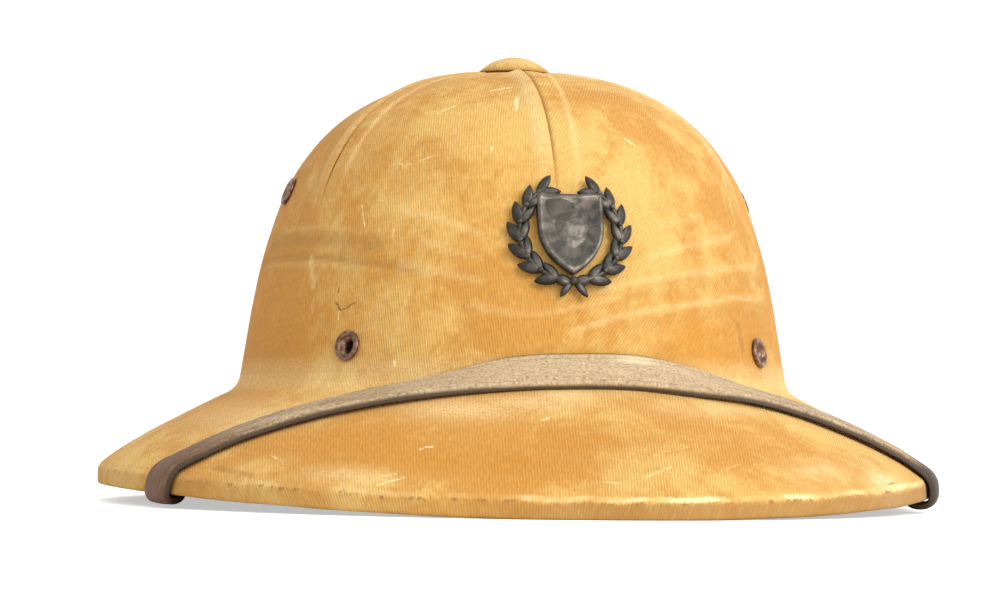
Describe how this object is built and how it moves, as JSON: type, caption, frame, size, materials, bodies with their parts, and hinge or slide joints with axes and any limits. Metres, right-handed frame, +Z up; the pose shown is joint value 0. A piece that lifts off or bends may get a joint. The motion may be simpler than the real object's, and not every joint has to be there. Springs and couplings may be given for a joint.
{
  "type": "pith helmet",
  "caption": "Cloth-covered sun helmet with a domed gored crown, drooping oval brim, vent eyelets, top button, stowed leather chin strap and a cast front badge.",
  "frame": {"origin": "middle of the helmet's box, on the surface that it stands on", "axes": "+Z up, -Y to the front with the badge, +X to the right as seen from the front"},
  "size_m": [0.279, 0.3418, 0.1532],
  "materials": {
    "crown_cloth": "worn ochre cotton twill, matt",
    "brim_cloth": "worn ochre cotton twill, abraded along the lip",
    "fibre": "pressed fibre, matt",
    "strap_leather": "worn brown leather, soft sheen",
    "eyelet_metal": "copper-brown lacquered metal, worn",
    "badge_bronze": "dark oxidised bronze with bright worn edges"
  },
  "bodies": {
    "root": {"fibre_shell": "fibre", "brim_cover": "brim_cloth", "crown_gore_1": "crown_cloth", "crown_gore_2": "crown_cloth", "crown_gore_3": "crown_cloth", "crown_gore_4": "crown_cloth", "crown_gore_5": "crown_cloth", "crown_gore_6": "crown_cloth", "top_button": "crown_cloth", "eyelet_front_left": "eyelet_metal", "eyelet_front_right": "eyelet_metal", "eyelet_rear_left": "eyelet_metal", "eyelet_rear_right": "eyelet_metal", "eyelet_side_left": "eyelet_metal", "eyelet_side_right": "eyelet_metal", "chin_strap": "strap_leather", "strap_rivet_left": "eyelet_metal", "strap_rivet_right": "eyelet_metal", "badge": "badge_bronze", "badge_nut": "badge_bronze"}
  },
  "joints": []
}
